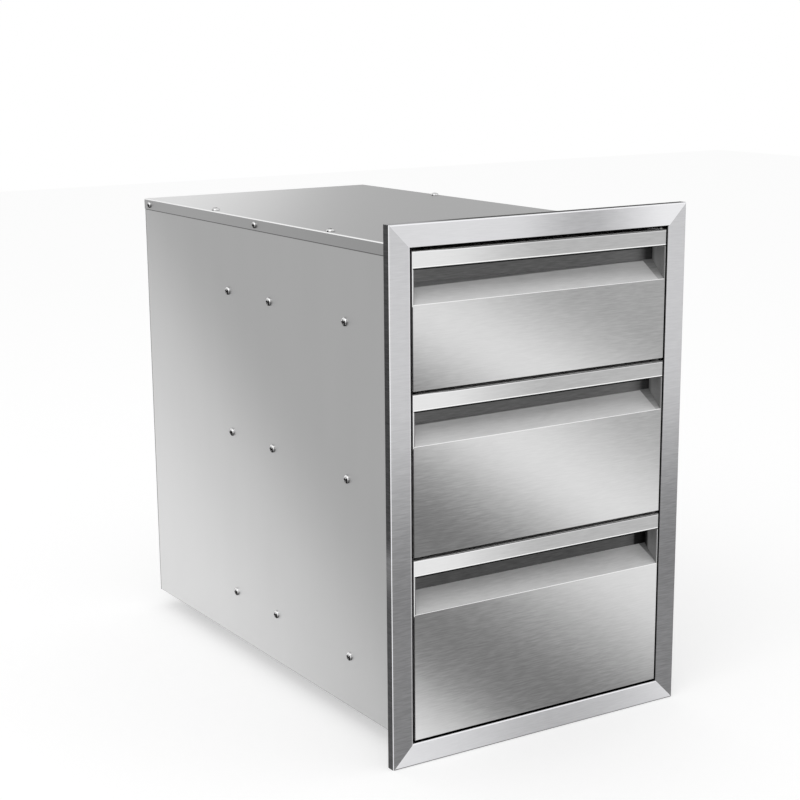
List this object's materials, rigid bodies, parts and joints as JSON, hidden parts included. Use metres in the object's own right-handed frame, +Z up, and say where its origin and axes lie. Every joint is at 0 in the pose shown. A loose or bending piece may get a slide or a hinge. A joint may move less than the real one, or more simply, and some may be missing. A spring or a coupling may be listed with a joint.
{
  "type": "outdoor kitchen drawer unit",
  "caption": "Built-in stainless steel drawer unit with a flanged front frame and drawers on ball-bearing slides, each opened by a finger recess under a lip.",
  "frame": {"origin": "bottom centre of the box round the closed unit", "axes": "+X to the right seen from the front, +Y from the front frame towards the back panel, +Z up; the drawers open towards -Y"},
  "size_m": [0.355, 0.5944, 0.533],
  "materials": {
    "frame_steel": "brushed stainless",
    "front_steel": "brushed stainless",
    "cabinet_steel": "plain rolled stainless",
    "box_steel": "plain rolled stainless",
    "slide_steel": "bright zinc plated",
    "retainer_steel": "bright zinc plated",
    "screw_steel": "polished stainless"
  },
  "bodies": {
    "cabinet": {"frame_left_rail": "frame_steel", "frame_right_rail": "frame_steel", "frame_bottom_rail": "frame_steel", "frame_top_rail": "frame_steel", "cabinet_left_side": "cabinet_steel", "cabinet_right_side": "cabinet_steel", "cabinet_lid": "cabinet_steel", "cabinet_floor": "cabinet_steel", "cabinet_back": "cabinet_steel", "left_slide_screws": "screw_steel", "right_slide_screws": "screw_steel", "lid_flange_screws": "screw_steel", "lid_top_screws": "screw_steel", "drawer_1_left_slide_outer": "slide_steel", "drawer_1_right_slide_outer": "slide_steel", "drawer_2_left_slide_outer": "slide_steel", "drawer_2_right_slide_outer": "slide_steel", "drawer_3_left_slide_outer": "slide_steel", "drawer_3_right_slide_outer": "slide_steel"},
    "drawer_1": {"drawer_1_front": "front_steel", "drawer_1_left_cheek": "front_steel", "drawer_1_right_cheek": "front_steel", "drawer_1_liner": "front_steel", "drawer_1_pan": "box_steel", "drawer_1_back": "box_steel", "drawer_1_left_slide_inner": "slide_steel", "drawer_1_right_slide_inner": "slide_steel"},
    "drawer_1_middle_members": {"drawer_1_left_slide_middle": "slide_steel", "drawer_1_right_slide_middle": "slide_steel"},
    "drawer_1_outer_cages": {"drawer_1_outer_retainers": "retainer_steel"},
    "drawer_1_inner_cages": {"drawer_1_inner_retainers": "retainer_steel"},
    "drawer_2": {"drawer_2_front": "front_steel", "drawer_2_left_cheek": "front_steel", "drawer_2_right_cheek": "front_steel", "drawer_2_liner": "front_steel", "drawer_2_pan": "box_steel", "drawer_2_back": "box_steel", "drawer_2_left_slide_inner": "slide_steel", "drawer_2_right_slide_inner": "slide_steel"},
    "drawer_2_middle_members": {"drawer_2_left_slide_middle": "slide_steel", "drawer_2_right_slide_middle": "slide_steel"},
    "drawer_2_outer_cages": {"drawer_2_outer_retainers": "retainer_steel"},
    "drawer_2_inner_cages": {"drawer_2_inner_retainers": "retainer_steel"},
    "drawer_3": {"drawer_3_front": "front_steel", "drawer_3_left_cheek": "front_steel", "drawer_3_right_cheek": "front_steel", "drawer_3_liner": "front_steel", "drawer_3_pan": "box_steel", "drawer_3_back": "box_steel", "drawer_3_left_slide_inner": "slide_steel", "drawer_3_right_slide_inner": "slide_steel"},
    "drawer_3_middle_members": {"drawer_3_left_slide_middle": "slide_steel", "drawer_3_right_slide_middle": "slide_steel"},
    "drawer_3_outer_cages": {"drawer_3_outer_retainers": "retainer_steel"},
    "drawer_3_inner_cages": {"drawer_3_inner_retainers": "retainer_steel"}
  },
  "joints": [
    {"name": "drawer_1_slide", "type": "slide", "parent": "cabinet", "child": "drawer_1", "axis": [0, -1, 0], "range_m": [0, 0.45]},
    {"name": "drawer_1_middle_slide", "type": "slide", "parent": "cabinet", "child": "drawer_1_middle_members", "axis": [0, -1, 0], "range_m": [0, 0.225]},
    {"name": "drawer_1_outer_cage_slide", "type": "slide", "parent": "cabinet", "child": "drawer_1_outer_cages", "axis": [0, -1, 0], "range_m": [0, 0.1125]},
    {"name": "drawer_1_inner_cage_slide", "type": "slide", "parent": "cabinet", "child": "drawer_1_inner_cages", "axis": [0, -1, 0], "range_m": [0, 0.3375]},
    {"name": "drawer_2_slide", "type": "slide", "parent": "cabinet", "child": "drawer_2", "axis": [0, -1, 0], "range_m": [0, 0.45]},
    {"name": "drawer_2_middle_slide", "type": "slide", "parent": "cabinet", "child": "drawer_2_middle_members", "axis": [0, -1, 0], "range_m": [0, 0.225]},
    {"name": "drawer_2_outer_cage_slide", "type": "slide", "parent": "cabinet", "child": "drawer_2_outer_cages", "axis": [0, -1, 0], "range_m": [0, 0.1125]},
    {"name": "drawer_2_inner_cage_slide", "type": "slide", "parent": "cabinet", "child": "drawer_2_inner_cages", "axis": [0, -1, 0], "range_m": [0, 0.3375]},
    {"name": "drawer_3_slide", "type": "slide", "parent": "cabinet", "child": "drawer_3", "axis": [0, -1, 0], "range_m": [0, 0.45]},
    {"name": "drawer_3_middle_slide", "type": "slide", "parent": "cabinet", "child": "drawer_3_middle_members", "axis": [0, -1, 0], "range_m": [0, 0.225]},
    {"name": "drawer_3_outer_cage_slide", "type": "slide", "parent": "cabinet", "child": "drawer_3_outer_cages", "axis": [0, -1, 0], "range_m": [0, 0.1125]},
    {"name": "drawer_3_inner_cage_slide", "type": "slide", "parent": "cabinet", "child": "drawer_3_inner_cages", "axis": [0, -1, 0], "range_m": [0, 0.3375]}
  ],
  "couplings": [
    {"joint": "drawer_1_middle_slide", "follows": "drawer_1_slide", "ratio": 0.5},
    {"joint": "drawer_1_outer_cage_slide", "follows": "drawer_1_slide", "ratio": 0.25},
    {"joint": "drawer_1_inner_cage_slide", "follows": "drawer_1_slide", "ratio": 0.75},
    {"joint": "drawer_2_middle_slide", "follows": "drawer_2_slide", "ratio": 0.5},
    {"joint": "drawer_2_outer_cage_slide", "follows": "drawer_2_slide", "ratio": 0.25},
    {"joint": "drawer_2_inner_cage_slide", "follows": "drawer_2_slide", "ratio": 0.75},
    {"joint": "drawer_3_middle_slide", "follows": "drawer_3_slide", "ratio": 0.5},
    {"joint": "drawer_3_outer_cage_slide", "follows": "drawer_3_slide", "ratio": 0.25},
    {"joint": "drawer_3_inner_cage_slide", "follows": "drawer_3_slide", "ratio": 0.75}
  ]
}
